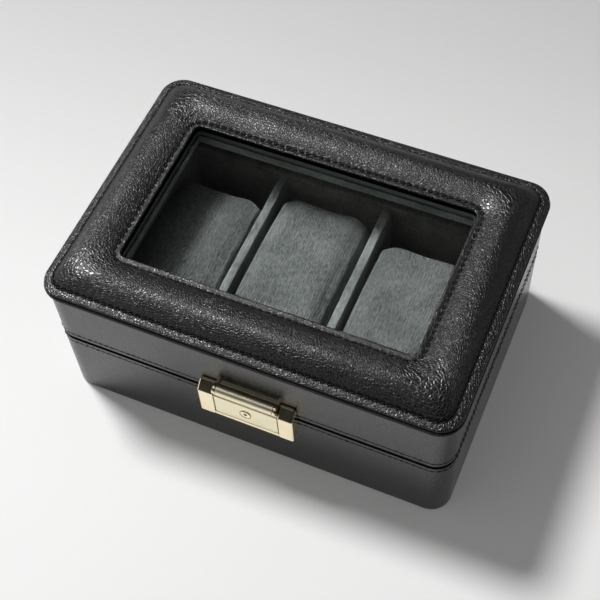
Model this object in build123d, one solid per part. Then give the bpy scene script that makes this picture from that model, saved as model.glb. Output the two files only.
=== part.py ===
"""Watch display box: a leather-covered case for three watches, with a glazed, padded lid.

Millimetres. X runs along the front, Y to the back, Z up. The origin is the middle of the underside.
The box is drawn closed, with the latch down and the pillows on the tray floor.
"""

import os

from build123d import *

# Outer form, leather to leather
BOX_LENGTH = 197.6
BOX_DEPTH = 136.6
CORNER_RADIUS = 10.0
SEAM_HEIGHT = 46.6
SEAM_GAP = 1.0
LID_WALL_HEIGHT = 32.4
EDGE_ROUNDING = 0.8

# Walls, from the leather inwards
LEATHER = 0.9
BASE_BOARD = 9.0
LID_BOARD = 8.0
LINING = 0.4
LINER = 7.4
LIP_RISE = 8.9
LINER_ROUNDING = 2.0

# Underside and tray floor
FELT = 1.0
FELT_INSET = 1.2
WRAP_LIFT = 0.5
FLOOR_BOARD = 5.0
FLOOR_PAD = 2.2

# Dividers, one between each two of the watch places; they stand a little left of even
WATCH_COUNT = 3
DIVIDER_COUNT = WATCH_COUNT - 1
DIVIDER_THICKNESS = 4.4
DIVIDER_DROP = 2.0
DIVIDER_ROUNDING = 2.0
DIVIDER_OFFSET = 4.0

# Padded top
RIM_OVERHANG = 1.7
RIM_GROOVE = 0.8
RIM_THICKNESS = 4.4
RIM_ROUNDING = 1.1
RIM_SKIRT = 2.1
STITCH_MARGIN = 4.6
FLANGE_WIDTH = 3.2
PAD_RISE = 6.7
FLANGE_RISE = 3.5
CREST_WIDTH = 2.0
DOME_SHARE = 0.45
CREST_CORNER = 14.0

# Window
WINDOW_MARGIN = 29.1
WINDOW_CORNER = 3.0
GLASS_THICKNESS = 2.5
GLASS_LAP = 5.0
GLASS_CLEARANCE = 0.2
GLASS_FRAME = 4.5

# Pillows, each on its own watch place
PILLOW_SIDE_GAP = 0.9
PILLOW_DEPTH_PLAY = 18.0
PILLOW_HEIGHT = 46.8
PILLOW_FLAT_INSET = 16.0
PILLOW_TOP_INSET = 3.6
PILLOW_CROWN = 2.6
PILLOW_WAIST_SHARE = 0.62
PILLOW_SEAM = 3.0
PILLOW_DRAW_IN = 2.6
PILLOW_CLEARANCE = 0.3
LEFT_PILLOW_SHIFT = -6.2
CENTRE_PILLOW_SHIFT = 2.6
RIGHT_PILLOW_SHIFT = -6.0
RIGHT_PILLOW_SIDEWAYS = -2.0

# Butt hinges in the back seam
HINGE_MARGIN = 42.8
HINGE_WIDTH = 26.0
HINGE_LEAF = 0.8
HINGE_LEAF_DEPTH = 7.6
HINGE_LEAF_GAP = 0.2
KNUCKLE_RADIUS = 2.0
KNUCKLE_MIDDLE = 10.0
KNUCKLE_GAP = 0.2
KNUCKLE_STANDOFF = 0.1
HINGE_PIN_RADIUS = 0.8
PIN_HEAD_RADIUS = 1.3
PIN_HEAD = 0.6
RUNNING_FIT = 0.05
SEAT_FIT = 0.02
SCREW_SPACING = 15.0
SCREW_SHANK = 0.8
SCREW_HEAD = 1.7
SCREW_LENGTH = 7.5

# Lock case on the base, a little right of the middle: two end blocks, a back plate and a bottom rail
LOCK_OFFSET = 3.1
LOCK_WIDTH = 47.0
LOCK_BLOCK = 7.4
LOCK_DROP = 12.2
LOCK_STEP = 2.2
LOCK_CORNER = 1.2
LOCK_DEPTH = 6.0
LOCK_PLATE = 1.2
LOCK_RAIL = 2.0
LOCK_LEDGE = 1.6
LOCK_SLANT = 4.2
LOCK_LID_CLEARANCE = 0.4
LOCK_EDGE = 0.5
LOCK_SEAM = 0.4

# Latch on the lid: a mount with two ears, a pin and the flap that rolls on it
ROLL_RADIUS = 2.6
ROLL_RISE = 9.6
ROLL_CLEARANCE = 0.3
MOUNT_PLATE = 1.0
MOUNT_CROWN = 0.2
EAR = 1.5
EAR_GAP = 0.15
LATCH_PIN_RADIUS = 0.8
FLAP_FRONT = 5.6
FLAP_THICKNESS = 1.6
FLAP_BAND = 1.3
FLAP_GROOVE = 0.5
FLAP_NECK = 5.0

# Lock cylinder in the flap, its cam, and the keeper that the cam turns behind
CYLINDER_DROP = 2.2
CYLINDER_RADIUS = 2.5
CYLINDER_HEAD_RADIUS = 3.0
CYLINDER_HEAD = 0.3
KEYWAY = 1.6
KEYWAY_DEPTH = 2.4
CAM_THICKNESS = 1.2
CAM_WIDTH = 3.2
CAM_ROLL_GAP = 2.2
CAM_CLEARANCE = 0.4
KEEPER_WALL = 0.6
KEEPER_MARGIN = 2.2

# Screws that hold the lock case and the latch mount, from inside the walls
CASE_SCREW_RADIUS = 1.2
CASE_SCREW_HEAD = 2.5
CASE_SCREW_SINK = 1.4
CASE_SCREW_BITE = 3.0
MOUNT_SCREW_SPACING = 18.0
MOUNT_SCREW_RADIUS = 0.9

# Levels
BASE_TOP = SEAM_HEIGHT - SEAM_GAP / 2
LID_BOTTOM = SEAM_HEIGHT + SEAM_GAP / 2
LID_WALL_TOP = LID_BOTTOM + LID_WALL_HEIGHT
FLOOR_TOP = FELT + FLOOR_BOARD
TRAY_FLOOR = FLOOR_TOP + FLOOR_PAD
LIP_TOP = BASE_TOP + LIP_RISE
DIVIDER_TOP = LIP_TOP - DIVIDER_DROP
TOP_BOARD = GLASS_THICKNESS + GLASS_CLEARANCE
TOP_BOARD_TOP = LID_WALL_TOP + TOP_BOARD
RIM_BOTTOM = LID_WALL_TOP + RIM_GROOVE
RIM_TOP = RIM_BOTTOM + RIM_THICKNESS
CREST = RIM_TOP + PAD_RISE
FLANGE_TOP = RIM_TOP + FLANGE_RISE
ROLL_HEIGHT = SEAM_HEIGHT + ROLL_RISE
MOUNT_BOTTOM = LID_BOTTOM + EDGE_ROUNDING
MOUNT_TOP = ROLL_HEIGHT + MOUNT_CROWN
LOCK_TOP = ROLL_HEIGHT + ROLL_RADIUS - LOCK_STEP
LOCK_BOTTOM = SEAM_HEIGHT - LOCK_DROP
CYLINDER_HEIGHT = SEAM_HEIGHT - CYLINDER_DROP
CAM_LENGTH = ROLL_HEIGHT - ROLL_RADIUS - CAM_ROLL_GAP - CYLINDER_HEIGHT

# Insets from the leather face, and plan sizes
BASE_INNER = LEATHER + BASE_BOARD
LID_BOARD_INNER = LEATHER + LID_BOARD
LID_INNER = LID_BOARD_INNER + LINING
TRAY_INNER = BASE_INNER + LINER
TRAY_LENGTH = BOX_LENGTH - 2 * TRAY_INNER
TRAY_DEPTH = BOX_DEPTH - 2 * TRAY_INNER
WINDOW_LENGTH = BOX_LENGTH + 2 * (RIM_OVERHANG - WINDOW_MARGIN)
WINDOW_DEPTH = BOX_DEPTH + 2 * (RIM_OVERHANG - WINDOW_MARGIN)
PLACE_WIDTH = (TRAY_LENGTH - DIVIDER_COUNT * DIVIDER_THICKNESS) / WATCH_COUNT
PLACE_PITCH = PLACE_WIDTH + DIVIDER_THICKNESS
LEFT_PLACE = PLACE_WIDTH - DIVIDER_OFFSET
LEFT_PLACE_X = -PLACE_PITCH - DIVIDER_OFFSET / 2
CENTRE_PLACE_X = -DIVIDER_OFFSET
RIGHT_PLACE_X = PLACE_PITCH - DIVIDER_OFFSET / 2
PILLOW_WIDTH = LEFT_PLACE - 2 * PILLOW_SIDE_GAP
PILLOW_DEPTH = TRAY_DEPTH - PILLOW_DEPTH_PLAY
BACK_FACE = BOX_DEPTH / 2
FRONT_FACE = -BOX_DEPTH / 2
HINGE_X = BOX_LENGTH / 2 - HINGE_MARGIN
HINGE_Y = BACK_FACE + KNUCKLE_RADIUS + KNUCKLE_STANDOFF
ROLL_Y = FRONT_FACE - MOUNT_PLATE - ROLL_CLEARANCE - ROLL_RADIUS
LOCK_INNER_HALF = LOCK_WIDTH / 2 - LOCK_BLOCK
LATCH_HALF = LOCK_INNER_HALF - LOCK_SEAM
CASE_SCREW_X = LOCK_WIDTH / 2 - LOCK_BLOCK / 2
KEEPER_RISE = CAM_WIDTH + CAM_CLEARANCE
KEEPER_REACH = CAM_LENGTH + KEEPER_MARGIN
SIDES = ("front", "back", "left", "right")


def plan(inset, radius=None):
    """The box's outline in plan, drawn in by inset; its corners stay concentric unless given."""
    corner = CORNER_RADIUS - inset if radius is None else radius
    length, depth = BOX_LENGTH - 2 * inset, BOX_DEPTH - 2 * inset
    return RectangleRounded(length, depth, corner) if corner > EDGE_ROUNDING / 2 else Rectangle(length, depth)


def slab(sketch, low, high):
    """A flat sketch made solid between two levels."""
    return extrude(Pos(0, 0, low) * sketch, high - low)


def block(x, y, z):
    """A box between two values on each axis."""
    return Pos((x[0] + x[1]) / 2, (y[0] + y[1]) / 2, (z[0] + z[1]) / 2) * Box(
        x[1] - x[0], y[1] - y[0], z[1] - z[0]
    )


def rod(radius, low, high, axis, a, b):
    """A round bar along an axis, from low to high, through (a, b) on the other two axes."""
    bar = Cylinder(radius, high - low)
    middle = (low + high) / 2
    if axis == "X":
        return Pos(middle, a, b) * Rot(0, 90, 0) * bar
    if axis == "Y":
        return Pos(a, middle, b) * Rot(90, 0, 0) * bar
    return Pos(a, b, middle) * bar


def outer_edges(shape, level):
    """The edges of the outer contour of a shape, at one level."""
    edges = [e for e in shape.edges() if all(abs(v.Z - level) < 0.01 for v in e.vertices())]
    reach_x, reach_y = shape.bounding_box().max.X, shape.bounding_box().max.Y
    near = CORNER_RADIUS
    return [e for e in edges if abs(e.center().X) > reach_x - near or abs(e.center().Y) > reach_y - near]


def mitre(side):
    """The wedge of the plan that belongs to one of four mitred boards."""
    half_length, half_depth = BOX_LENGTH / 2, BOX_DEPTH / 2
    ridge = half_length - half_depth
    corners = {
        "front": [(-half_length, -half_depth), (half_length, -half_depth), (ridge, 0), (-ridge, 0)],
        "back": [(half_length, half_depth), (-half_length, half_depth), (-ridge, 0), (ridge, 0)],
        "left": [(-half_length, half_depth), (-half_length, -half_depth), (-ridge, 0)],
        "right": [(half_length, -half_depth), (half_length, half_depth), (ridge, 0)],
    }
    return slab(make_face(Polyline(*corners[side], close=True)), 0, CREST)


def mitred(ring):
    """A ring cut into its four boards at the corners."""
    return {side: ring & mitre(side) for side in SIDES}


def base_case():
    """Boards, floor, leather wrap and felt of the base."""
    boards = mitred(slab(plan(LEATHER) - plan(BASE_INNER), FELT, BASE_TOP - LEATHER))
    floor = slab(plan(BASE_INNER), FELT, FLOOR_TOP)
    wrap = slab(plan(0), WRAP_LIFT, BASE_TOP)
    wrap = fillet(outer_edges(wrap, WRAP_LIFT) + outer_edges(wrap, BASE_TOP), EDGE_ROUNDING)
    wrap -= slab(plan(LEATHER), WRAP_LIFT, BASE_TOP - LEATHER)
    wrap -= slab(plan(BASE_INNER), WRAP_LIFT, BASE_TOP)
    felt = slab(plan(FELT_INSET), 0, FELT)
    nodes = {f"base_board_{side}": board for side, board in boards.items()}
    return nodes | {"base_floor_board": floor, "base_leather_wrap": wrap, "base_felt": felt}


def tray():
    """Velvet-covered liner walls, floor pad and dividers; the walls stand up into the lid as a lip."""
    outer_length, outer_depth = BOX_LENGTH - 2 * BASE_INNER, BOX_DEPTH - 2 * BASE_INNER
    nodes = {}
    for side, sign in (("left", -1), ("right", 1)):
        spans = sorted((sign * outer_length / 2, sign * TRAY_LENGTH / 2))
        wall = block(spans, (-outer_depth / 2, outer_depth / 2), (FLOOR_TOP, LIP_TOP))
        nodes[f"tray_wall_{side}"] = fillet(wall.faces().sort_by(Axis.Z)[-1].edges(), LINER_ROUNDING)
    for side, sign in (("front", -1), ("back", 1)):
        spans = sorted((sign * outer_depth / 2, sign * TRAY_DEPTH / 2))
        wall = block((-TRAY_LENGTH / 2, TRAY_LENGTH / 2), spans, (FLOOR_TOP, LIP_TOP))
        ridges = wall.faces().sort_by(Axis.Z)[-1].edges().filter_by(Axis.X)
        nodes[f"tray_wall_{side}"] = fillet(ridges, LINER_ROUNDING)
    nodes["tray_floor_pad"] = slab(Rectangle(TRAY_LENGTH, TRAY_DEPTH), FLOOR_TOP, TRAY_FLOOR)
    for name, sign in (("left", -1), ("right", 1)):
        middle = sign * PLACE_PITCH / 2 - DIVIDER_OFFSET
        spans = (middle - DIVIDER_THICKNESS / 2, middle + DIVIDER_THICKNESS / 2)
        divider = block(spans, (-TRAY_DEPTH / 2, TRAY_DEPTH / 2), (TRAY_FLOOR, DIVIDER_TOP))
        ridges = divider.faces().sort_by(Axis.Z)[-1].edges().filter_by(Axis.Y)
        nodes[f"divider_{name}"] = fillet(ridges, DIVIDER_ROUNDING)
    return nodes


def lid_case():
    """Boards, leather wrap, inner lining and top board of the lid."""
    boards = mitred(slab(plan(LEATHER) - plan(LID_BOARD_INNER), LID_BOTTOM + LEATHER, LID_WALL_TOP))
    wrap = slab(plan(0), LID_BOTTOM, LID_WALL_TOP)
    wrap = fillet(outer_edges(wrap, LID_BOTTOM) + outer_edges(wrap, LID_WALL_TOP), EDGE_ROUNDING)
    wrap -= slab(plan(LEATHER), LID_BOTTOM + LEATHER, LID_WALL_TOP)
    wrap -= slab(plan(LID_INNER), LID_BOTTOM, LID_WALL_TOP)
    lining = slab(plan(LID_BOARD_INNER) - plan(LID_INNER), LID_BOTTOM + LEATHER, LID_WALL_TOP)
    opening = RectangleRounded(*glass_size(GLASS_CLEARANCE), WINDOW_CORNER + GLASS_CLEARANCE)
    top_board = slab(plan(RIM_SKIRT - RIM_OVERHANG) - opening, LID_WALL_TOP, TOP_BOARD_TOP)
    nodes = {f"lid_board_{side}": board for side, board in boards.items()}
    return nodes | {"lid_leather_wrap": wrap, "lid_side_lining": lining, "lid_top_board": top_board}


def glass_size(clearance):
    """Length and depth of the glass pane, or of the opening it lies in."""
    return [size + 2 * (GLASS_LAP + clearance) for size in (WINDOW_LENGTH, WINDOW_DEPTH)]


def window():
    """The glass pane and the velvet-covered frame that holds it up from inside the lid."""
    glass = slab(RectangleRounded(*glass_size(0), WINDOW_CORNER), TOP_BOARD_TOP - GLASS_THICKNESS, TOP_BOARD_TOP)
    inner = Rectangle(WINDOW_LENGTH, WINDOW_DEPTH)
    strips = mitred_frame(slab(plan(LID_INNER) - inner, LID_WALL_TOP - GLASS_FRAME, LID_WALL_TOP))
    return {"window_glass": glass} | {f"glass_frame_{side}": strip for side, strip in strips.items()}


def mitred_frame(ring):
    """A window frame cut into four strips: long ones at the front and back, short ones between."""
    reach, half = BOX_LENGTH / 2, WINDOW_DEPTH / 2
    level = (0, CREST)
    return {
        "front": ring & block((-reach, reach), (-BOX_DEPTH, -half), level),
        "back": ring & block((-reach, reach), (half, BOX_DEPTH), level),
        "left": ring & block((-reach, 0), (-half, half), level),
        "right": ring & block((0, reach), (-half, half), level),
    }


def lid_pad():
    """The padded leather top: a flat rim, a dome between two seams, and a flange round the window."""
    rim = slab(plan(-RIM_OVERHANG), RIM_BOTTOM, RIM_TOP)
    rim = fillet(outer_edges(rim, RIM_TOP), RIM_ROUNDING)
    rise_start, rise_end = STITCH_MARGIN, WINDOW_MARGIN / 2 - CREST_WIDTH / 2
    fall_start, fall_end = WINDOW_MARGIN - FLANGE_WIDTH, WINDOW_MARGIN / 2 + CREST_WIDTH / 2
    outer_rings = dome_rings(rise_start, rise_end, RIM_TOP, CORNER_RADIUS - STITCH_MARGIN)
    inner_rings = dome_rings(fall_start, fall_end, FLANGE_TOP, WINDOW_CORNER + FLANGE_WIDTH)
    dome = loft(outer_rings)
    hollow = loft(inner_rings)
    pad = rim + dome - hollow
    pad -= slab(RectangleRounded(WINDOW_LENGTH, WINDOW_DEPTH, WINDOW_CORNER), RIM_BOTTOM, CREST)
    return pad - slab(plan(RIM_SKIRT - RIM_OVERHANG), RIM_BOTTOM, TOP_BOARD_TOP)


def dome_rings(start, end, low, corner):
    """Plan outlines up one flank of the dome, steep at the seam and level at the crest."""
    rings = []
    for share in (0.0, 0.2, 0.5, 1.0):
        inset = start + (end - start) * share - RIM_OVERHANG
        height = low + (CREST - low) * (1 - (1 - share) ** (1 / DOME_SHARE))
        radius = corner + (CREST_CORNER - corner) * share
        rings.append(Pos(0, 0, height) * plan(inset, radius))
    return rings


def pillow(middle_x, middle_y):
    """A stuffed watch pillow: flat below, faintly crowned on top, drawn in towards its two end seams."""
    half = PILLOW_WIDTH / 2
    stations = ((-half, 1), (PILLOW_SEAM - half, 0.3), (0, 0), (half - PILLOW_SEAM, 0.3), (half, 1))
    return loft([pillow_section(middle_x + x, middle_y, PILLOW_DRAW_IN * pull) for x, pull in stations])


def pillow_section(x, y, drawn_in):
    """One slice across a pillow, smaller all round by drawn_in but still flat on the tray floor."""
    low = TRAY_FLOOR + PILLOW_CLEARANCE
    high = low + PILLOW_HEIGHT - drawn_in
    half_depth = PILLOW_DEPTH / 2 - drawn_in
    half_flat = half_depth - PILLOW_FLAT_INSET
    shoulder = half_depth - PILLOW_TOP_INSET
    shoulder_z = high - PILLOW_CROWN
    waist_z = low + (high - low) * PILLOW_WAIST_SHARE
    bottom = Line((-half_flat, low), (half_flat, low))
    rear = ThreePointArc((half_flat, low), (half_depth, waist_z), (shoulder, shoulder_z))
    top = ThreePointArc((shoulder, shoulder_z), (0, high), (-shoulder, shoulder_z))
    front = ThreePointArc((-shoulder, shoulder_z), (-half_depth, waist_z), (-half_flat, low))
    return Plane(origin=(x, y, 0), x_dir=(0, 1, 0), z_dir=(1, 0, 0)) * make_face([bottom, rear, top, front])


def pillows():
    """One pillow on each watch place, a little out of line as they lie in use."""
    return {
        "pillow_left": pillow(LEFT_PLACE_X, LEFT_PILLOW_SHIFT),
        "pillow_centre": pillow(CENTRE_PLACE_X, CENTRE_PILLOW_SHIFT),
        "pillow_right": pillow(RIGHT_PLACE_X + RIGHT_PILLOW_SIDEWAYS, RIGHT_PILLOW_SHIFT),
    }


def screw(x, y, head_z, down):
    """A countersunk wood screw, its head flush at head_z and its point below or above it."""
    head = Cone(SCREW_SHANK, SCREW_HEAD, HINGE_LEAF)
    shank = Cylinder(SCREW_SHANK, SCREW_LENGTH)
    body = Pos(0, 0, -HINGE_LEAF / 2) * head + Pos(0, 0, -HINGE_LEAF - SCREW_LENGTH / 2) * shank
    return Pos(x, y, head_z) * (body if down else Rot(180, 0, 0) * body)


def hinge_leaf(middle, knuckle_spans, low, high):
    """A leaf in the seam, with tongues to the knuckles of its own side."""
    half = HINGE_WIDTH / 2
    inner_y, outer_y = BACK_FACE - HINGE_LEAF_DEPTH, HINGE_Y - KNUCKLE_RADIUS - KNUCKLE_GAP
    leaf = block((middle - half, middle + half), (inner_y, outer_y), (low, high))
    for start, end in knuckle_spans:
        leaf += block((middle + start, middle + end), (outer_y, HINGE_Y), (low, high))
        leaf += rod(KNUCKLE_RADIUS, middle + start, middle + end, "X", HINGE_Y, SEAM_HEIGHT)
    return leaf


def hinges():
    """Two butt hinges: the leaf and pin on the base, the leaf on the lid, and the screws of each."""
    half, middle_half = HINGE_WIDTH / 2, KNUCKLE_MIDDLE / 2
    outer = [(-half, -middle_half - KNUCKLE_GAP), (middle_half + KNUCKLE_GAP, half)]
    gap = HINGE_LEAF_GAP / 2
    screw_y = BACK_FACE - HINGE_LEAF_DEPTH / 2
    nodes, base_screws, lid_screws = {}, [], []
    for name, sign in (("left", -1), ("right", 1)):
        x = sign * HINGE_X
        ends = (x - half - PIN_HEAD, x + half + PIN_HEAD)
        base_leaf = hinge_leaf(x, outer, SEAM_HEIGHT - gap - HINGE_LEAF, SEAM_HEIGHT - gap)
        lid_leaf = hinge_leaf(x, [(-middle_half, middle_half)], SEAM_HEIGHT + gap, SEAM_HEIGHT + gap + HINGE_LEAF)
        base_leaf -= rod(HINGE_PIN_RADIUS + SEAT_FIT, *ends, "X", HINGE_Y, SEAM_HEIGHT)
        lid_leaf -= rod(HINGE_PIN_RADIUS + RUNNING_FIT, *ends, "X", HINGE_Y, SEAM_HEIGHT)
        pin = rod(HINGE_PIN_RADIUS, *ends, "X", HINGE_Y, SEAM_HEIGHT)
        pin += rod(PIN_HEAD_RADIUS, ends[0], ends[0] + PIN_HEAD, "X", HINGE_Y, SEAM_HEIGHT)
        pin += rod(PIN_HEAD_RADIUS, ends[1] - PIN_HEAD, ends[1], "X", HINGE_Y, SEAM_HEIGHT)
        for shift in (-SCREW_SPACING / 2, SCREW_SPACING / 2):
            base_screws.append(screw(x + shift, screw_y, SEAM_HEIGHT - gap, True))
            lid_screws.append(screw(x + shift, screw_y, SEAM_HEIGHT + gap, False))
        nodes[f"hinge_{name}_base_leaf"] = base_leaf - base_screws[-2:]
        nodes[f"hinge_{name}_lid_leaf"] = lid_leaf - lid_screws[-2:]
        nodes[f"hinge_{name}_pin"] = pin
    return nodes | {"hinge_screws_base": base_screws, "hinge_screws_lid": lid_screws}


def lock_profile(depth, ledge, slant):
    """An end block seen from its side: a narrow top, a slanted shoulder and an upright front."""
    front, wall = FRONT_FACE - depth, FRONT_FACE
    back = wall - LOCK_LID_CLEARANCE
    points = [
        (wall, LOCK_BOTTOM),
        (wall, BASE_TOP - EDGE_ROUNDING),
        (back, BASE_TOP - EDGE_ROUNDING),
        (back, LOCK_TOP),
        (wall - ledge, LOCK_TOP),
        (front, LOCK_TOP - slant),
        (front, LOCK_BOTTOM),
    ]
    return make_face(Polyline(*points, close=True))


def lock_case():
    """The die-cast case on the base wall that the flap closes into."""
    case = block(
        (-LOCK_WIDTH / 2, LOCK_WIDTH / 2),
        (FRONT_FACE - LOCK_PLATE, FRONT_FACE),
        (LOCK_BOTTOM, BASE_TOP - EDGE_ROUNDING),
    )
    rail_top = LOCK_BOTTOM + LOCK_RAIL
    case += block((-LOCK_INNER_HALF, LOCK_INNER_HALF), (FRONT_FACE - FLAP_FRONT, FRONT_FACE), (LOCK_BOTTOM, rail_top))
    profile = Plane.YZ * lock_profile(LOCK_DEPTH, LOCK_LEDGE, LOCK_SLANT)
    for start in (-LOCK_WIDTH / 2, LOCK_INNER_HALF):
        end_block = Pos(start, 0, 0) * extrude(profile, LOCK_BLOCK)
        front = end_block.edges().filter_by(lambda e: e.center().Y < FRONT_FACE - LOCK_LEDGE)
        case += chamfer(front, LOCK_EDGE)
    height, middle = LOCK_TOP - LOCK_BOTTOM, (LOCK_TOP + LOCK_BOTTOM) / 2
    silhouette = Plane.XZ * Pos(0, middle) * RectangleRounded(LOCK_WIDTH, height, LOCK_CORNER)
    case &= extrude(silhouette, BOX_DEPTH)
    return case + keeper()


def keeper():
    """An L behind the flap: the cam turns down onto its sill and behind its front wall."""
    cam_front = cam_back() - CAM_THICKNESS
    span = (-KEEPER_REACH, -CYLINDER_HEAD_RADIUS - CAM_CLEARANCE)
    sill_high = CYLINDER_HEIGHT - CAM_WIDTH / 2 - CAM_CLEARANCE
    sill = (sill_high - 2 * KEEPER_WALL, sill_high)
    front_wall = (cam_front - CAM_CLEARANCE - KEEPER_WALL, cam_front - CAM_CLEARANCE)
    shape = block(span, (front_wall[0], FRONT_FACE - LOCK_PLATE), sill)
    return shape + block(span, front_wall, (sill[0], sill_high + KEEPER_RISE))


def cam_back():
    """The plane just in front of the lock's back plate where the cam runs."""
    return FRONT_FACE - LOCK_PLATE - CAM_CLEARANCE / 2


def latch():
    """The latch mount with its two ears, its pin and the flap that swings out from the lock case."""
    roll = (ROLL_Y, ROLL_HEIGHT)
    mount = block(
        (-LATCH_HALF, LATCH_HALF),
        (FRONT_FACE - MOUNT_PLATE, FRONT_FACE),
        (MOUNT_BOTTOM, MOUNT_TOP),
    )
    for start in (-LATCH_HALF, LATCH_HALF - EAR):
        ear = rod(ROLL_RADIUS, start, start + EAR, "X", *roll)
        mount += ear + block(
            (start, start + EAR), (ROLL_Y, FRONT_FACE), (ROLL_HEIGHT - ROLL_RADIUS / 2, ROLL_HEIGHT + ROLL_RADIUS / 2)
        )
    mount -= rod(LATCH_PIN_RADIUS + SEAT_FIT, -LATCH_HALF, LATCH_HALF, "X", *roll)
    pin = rod(LATCH_PIN_RADIUS, -LATCH_HALF, LATCH_HALF, "X", *roll)
    return {"latch_mount": mount, "latch_pin": pin, "latch_flap": flap()}


def flap():
    """The flap: a round roll over the pin, a groove, a thin band and the flat plate with its cylinder hole."""
    roll_half = LATCH_HALF - EAR - EAR_GAP
    plate_low, roll_low = LOCK_BOTTOM + LOCK_RAIL + LOCK_SEAM, ROLL_HEIGHT - ROLL_RADIUS
    front, back = FRONT_FACE - FLAP_FRONT, FRONT_FACE - FLAP_FRONT + FLAP_THICKNESS
    neck_front = FRONT_FACE - FLAP_NECK
    band_high = roll_low - FLAP_GROOVE
    plate_high = band_high - FLAP_BAND - FLAP_GROOVE / 2
    shape = block((-LATCH_HALF, LATCH_HALF), (front, back), (plate_low, plate_high))
    shape = chamfer(shape.faces().sort_by(Axis.Y)[0].edges(), LOCK_EDGE / 2)
    shape += block((-LATCH_HALF, LATCH_HALF), (front + FLAP_GROOVE, back), (band_high - FLAP_BAND, band_high))
    shape += block((-roll_half, roll_half), (neck_front, back), (plate_high, ROLL_HEIGHT))
    shape += rod(ROLL_RADIUS, -roll_half, roll_half, "X", ROLL_Y, ROLL_HEIGHT)
    shape -= rod(LATCH_PIN_RADIUS + RUNNING_FIT, -LATCH_HALF, LATCH_HALF, "X", ROLL_Y, ROLL_HEIGHT)
    return shape - rod(CYLINDER_RADIUS + RUNNING_FIT, front, back, "Y", 0, CYLINDER_HEIGHT)


def lock_cylinder():
    """The key cylinder in the flap and the cam on its inner end; the cam points up when unlocked."""
    front, back = FRONT_FACE - FLAP_FRONT, cam_back()
    cam_front = back - CAM_THICKNESS
    barrel = rod(CYLINDER_RADIUS, front, cam_front, "Y", 0, CYLINDER_HEIGHT)
    barrel += rod(CYLINDER_HEAD_RADIUS, front - CYLINDER_HEAD, front - SEAT_FIT, "Y", 0, CYLINDER_HEIGHT)
    barrel += rod(CYLINDER_RADIUS, front - SEAT_FIT, front, "Y", 0, CYLINDER_HEIGHT)
    keyway = Box(KEYWAY, KEYWAY_DEPTH, KEYWAY)
    barrel -= Pos(0, front - CYLINDER_HEAD + KEYWAY_DEPTH / 2, CYLINDER_HEIGHT) * Rot(0, 45, 0) * keyway
    cam = block(
        (-CAM_WIDTH / 2, CAM_WIDTH / 2), (cam_front, back), (CYLINDER_HEIGHT, CYLINDER_HEIGHT + CAM_LENGTH)
    )
    cam += rod(CYLINDER_RADIUS, cam_front, back, "Y", 0, CYLINDER_HEIGHT)
    return {"lock_cylinder": barrel, "lock_cam": cam}


def wall_screw(x, z, radius, head_y, point_y):
    """A pan screw driven outwards through the front wall, its head sunk in the inner side."""
    shank = rod(radius, point_y, head_y - CASE_SCREW_SINK, "Y", x, z)
    return shank + rod(CASE_SCREW_HEAD, head_y - CASE_SCREW_SINK, head_y, "Y", x, z)


def wall_screws():
    """The screws of the lock case and of the latch mount."""
    case_head, mount_head = FRONT_FACE + BASE_INNER, FRONT_FACE + LID_BOARD_INNER
    case_z = (LOCK_BOTTOM + BASE_TOP) / 2
    case_point = FRONT_FACE - CASE_SCREW_BITE
    case = [wall_screw(x, case_z, CASE_SCREW_RADIUS, case_head, case_point) for x in (-CASE_SCREW_X, CASE_SCREW_X)]
    mount_x = MOUNT_SCREW_SPACING / 2
    mount_point = FRONT_FACE - MOUNT_PLATE
    mount_z = (MOUNT_BOTTOM + MOUNT_TOP) / 2
    mount = [wall_screw(x, mount_z, MOUNT_SCREW_RADIUS, mount_head, mount_point) for x in (-mount_x, mount_x)]
    return {"lock_case_screws": case, "latch_mount_screws": mount}


def bore_for(nodes, cutters, targets):
    """Takes the screws, or the hinge leaves, out of the pieces that they go through."""
    for target in targets:
        for cutter in cutters:
            shapes = nodes[cutter] if isinstance(nodes[cutter], list) else [nodes[cutter]]
            nodes[target] = nodes[target] - shapes


def lock():
    """The lock case, the latch, the cylinder and their screws, moved to their place along the front."""
    place = Pos(LOCK_OFFSET, 0, 0)
    nodes = latch() | lock_cylinder() | {"lock_case": lock_case()}
    nodes = {name: place * shape for name, shape in nodes.items()}
    return nodes | {name: [place * screw for screw in screws] for name, screws in wall_screws().items()}


def build():
    """All the pieces of the box, by name."""
    nodes = base_case() | tray() | lid_case() | window() | {"lid_pad": lid_pad()} | pillows() | hinges() | lock()
    leaves = {"base": [], "lid": []}
    for side in leaves:
        leaves[side] = [f"hinge_{name}_{side}_leaf" for name in ("left", "right")]
    bore_for(nodes, leaves["base"] + ["hinge_screws_base"], ["base_leather_wrap", "base_board_back"])
    bore_for(nodes, leaves["lid"] + ["hinge_screws_lid"], ["lid_leather_wrap", "lid_board_back"])
    bore_for(nodes, ["lock_case_screws"], ["base_leather_wrap", "base_board_front", "lock_case"])
    bore_for(nodes, ["latch_mount_screws"], ["lid_leather_wrap", "lid_board_front", "latch_mount"])
    return nodes


def main():
    """Writes one file for each piece."""
    os.makedirs("parts", exist_ok=True)
    for name, shape in build().items():
        solid = Compound(children=shape) if isinstance(shape, list) else shape
        export_step(solid, f"parts/{name}.step")


if __name__ == "__main__":
    main()
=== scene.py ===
"""Watch display box: padded leather, velvet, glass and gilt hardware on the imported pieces.

Metres inside the scene. Sizes in the classes are millimetres: X along the front, Y back, Z up.
"""

import logging
import math
from collections.abc import Callable, Iterator, Sequence
from contextlib import contextmanager
from dataclasses import dataclass
from enum import Enum
from functools import cached_property, lru_cache
from typing import Any

import bmesh
import bpy
import numpy as np
from mathutils import Matrix, Vector, noise


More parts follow.
